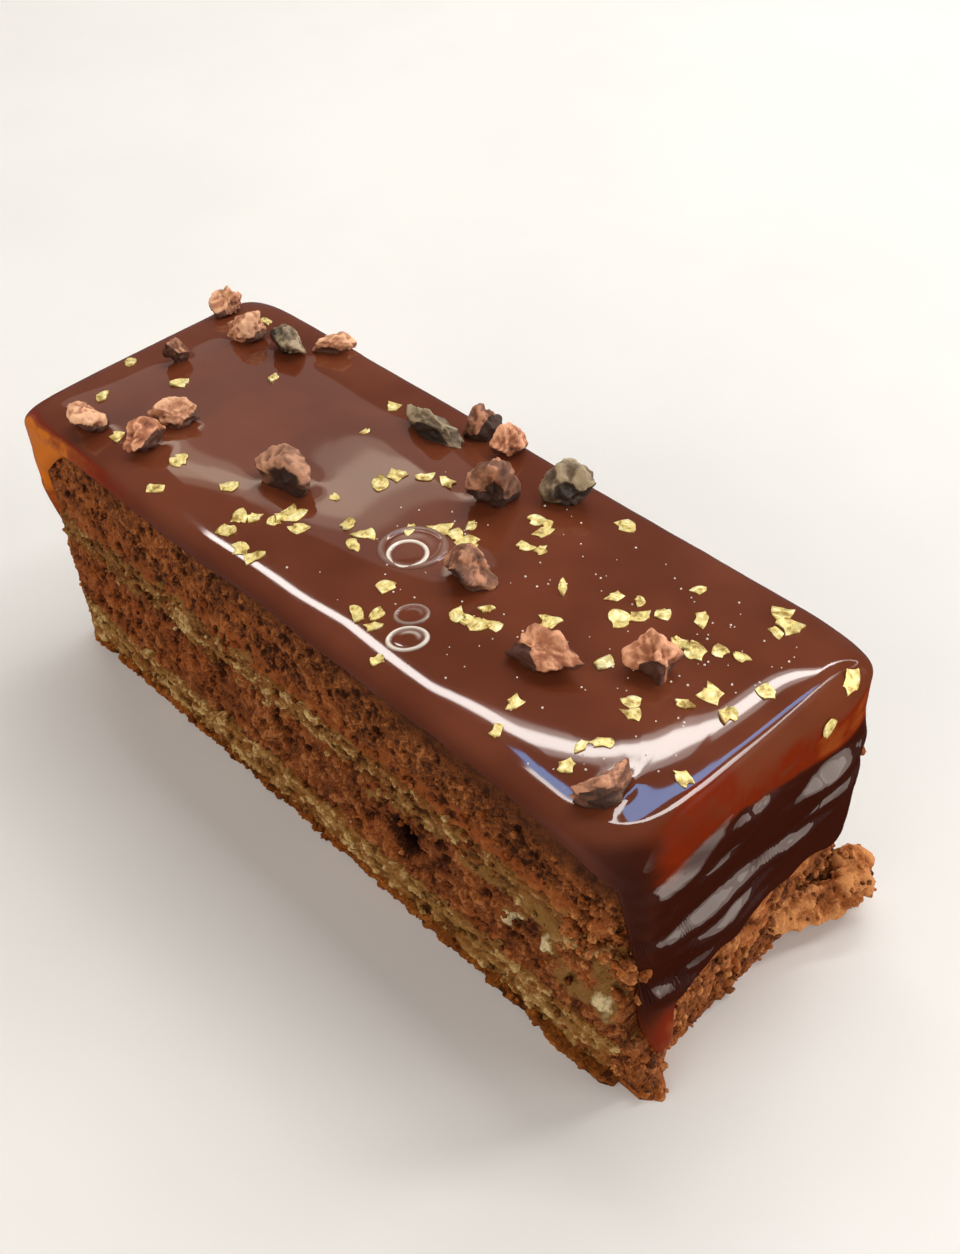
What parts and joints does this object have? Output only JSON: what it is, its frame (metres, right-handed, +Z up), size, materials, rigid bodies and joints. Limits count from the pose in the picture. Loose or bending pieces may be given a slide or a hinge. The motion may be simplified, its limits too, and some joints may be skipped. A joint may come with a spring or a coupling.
{
  "type": "chocolate cake slice",
  "caption": "Bar-shaped slice of layered chocolate cake: sponge and mousse layers on a thin crust, dark mirror glaze over top and ends, topped with cocoa nibs and gold flakes.",
  "frame": {"origin": "on the surface that the slice stands on, under the middle of the box that it fills", "axes": "+X along the bar towards the end with the curled strip of crust, +Y across it, +Z up"},
  "size_m": [0.1054, 0.0392, 0.045],
  "materials": {
    "crust": "baked, dry and crumbly",
    "sponge": "pale open crumb",
    "dark_mousse": "moist, torn crumb",
    "mousse": "fine torn crumb",
    "glaze": "mirror gloss with gold leaf flakes",
    "nib_tan": "dry broken surface",
    "nib_dark": "dry broken surface with dark skin",
    "crumbs": "loose tan crumb"
  },
  "bodies": {
    "root": {"base_crust": "crust", "lower_sponge": "sponge", "lower_mousse": "dark_mousse", "upper_sponge": "sponge", "upper_mousse": "mousse", "glaze": "glaze", "nib_01": "nib_tan", "nib_02": "nib_tan", "nib_03": "nib_dark", "nib_04": "nib_tan", "nib_05": "nib_dark", "nib_06": "nib_tan", "nib_07": "nib_tan", "nib_08": "nib_tan", "nib_09": "nib_dark", "nib_10": "nib_dark", "nib_11": "nib_dark", "nib_12": "nib_tan", "nib_13": "nib_tan", "nib_14": "nib_dark", "nib_15": "nib_dark", "nib_16": "nib_tan", "nib_17": "nib_tan", "nib_18": "nib_dark", "crumbs_right": "crumbs", "crumbs_left": "crumbs"}
  },
  "joints": []
}
